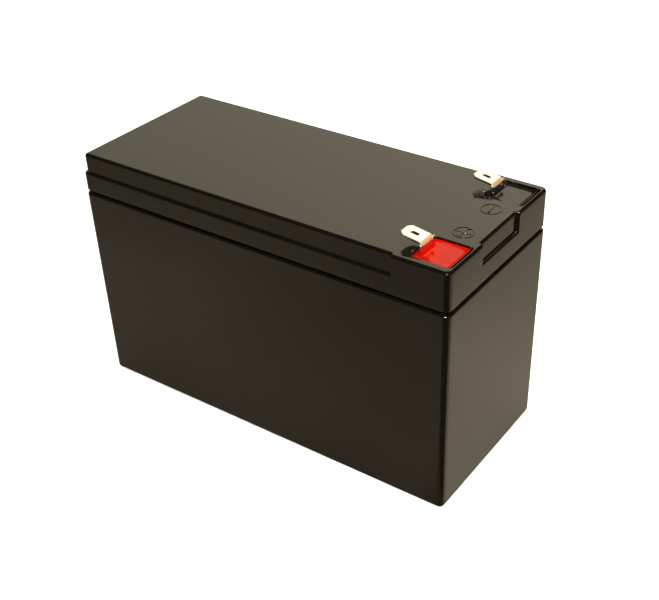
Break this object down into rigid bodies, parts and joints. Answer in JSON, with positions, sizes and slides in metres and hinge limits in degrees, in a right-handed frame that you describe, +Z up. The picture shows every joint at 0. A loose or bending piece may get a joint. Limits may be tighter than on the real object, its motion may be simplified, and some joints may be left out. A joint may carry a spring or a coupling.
{
  "type": "motorcycle battery",
  "caption": "Sealed rectangular battery block with a stepped lid and two folded blade tabs, for powering a small vehicle or alarm.",
  "frame": {"origin": "centre of the case's base, on the surface the battery stands on", "axes": "+X along the long side towards the terminal end, -Y towards the positive side, +Z up"},
  "size_m": [0.151, 0.065, 0.0974],
  "materials": {
    "black_plastic": "glossy black injection-moulded plastic with fine dust and hairline scuffs",
    "tinned_brass": "tin-plated brass tab, bright, warm white",
    "red_resin": "poured red epoxy, wet gloss",
    "black_resin": "poured black epoxy, wet gloss",
    "cell_sleeve": "heat-shrunk blue sleeve over a steel can",
    "holder_plastic": "dark moulded cell holder",
    "nickel": "spot-welded nickel strip",
    "fish_paper": "insulating sheet",
    "foam": "closed-cell packing foam",
    "circuit_board": "green solder mask over glass-fibre board",
    "component_black": "moulded component packages",
    "connector_nylon": "natural nylon connector housing",
    "lead_red": "red silicone lead",
    "lead_black": "black silicone lead",
    "wire_blue": "thin sense wire",
    "wire_yellow": "thin sense wire",
    "wire_white": "thin sense wire"
  },
  "bodies": {
    "root": {"case": "black_plastic", "lid": "black_plastic", "positive_terminal": "tinned_brass", "negative_terminal": "tinned_brass", "positive_terminal_seal": "red_resin", "negative_terminal_seal": "black_resin", "lower_cell_holder": "holder_plastic", "upper_cell_holder": "holder_plastic", "lower_strip_left": "nickel", "lower_strip_right": "nickel", "negative_strip": "nickel", "middle_strip": "nickel", "positive_strip": "nickel", "lower_insulating_sheet": "fish_paper", "upper_insulating_sheet": "fish_paper", "base_foam": "foam", "left_end_foam": "foam", "right_end_foam": "foam", "front_foam": "foam", "back_foam": "foam", "top_foam": "foam", "board_foam_tape": "foam", "protection_board": "circuit_board", "sense_resistor_1": "component_black", "sense_resistor_2": "component_black", "controller_chip": "component_black", "balance_socket": "connector_nylon", "balance_plug": "connector_nylon", "positive_output_lead": "lead_red", "negative_output_lead": "lead_black", "cell_negative_lead": "lead_black", "balance_wire_1": "lead_black", "balance_wire_2": "wire_blue", "balance_wire_3": "wire_yellow", "balance_wire_4": "wire_white", "balance_wire_5": "lead_red", "cell_1": "cell_sleeve", "cell_2": "cell_sleeve", "cell_3": "cell_sleeve", "cell_4": "cell_sleeve", "cell_5": "cell_sleeve", "cell_6": "cell_sleeve", "cell_7": "cell_sleeve", "cell_8": "cell_sleeve", "power_transistor_1": "component_black", "power_transistor_2": "component_black", "power_transistor_3": "component_black", "power_transistor_4": "component_black"}
  },
  "joints": []
}
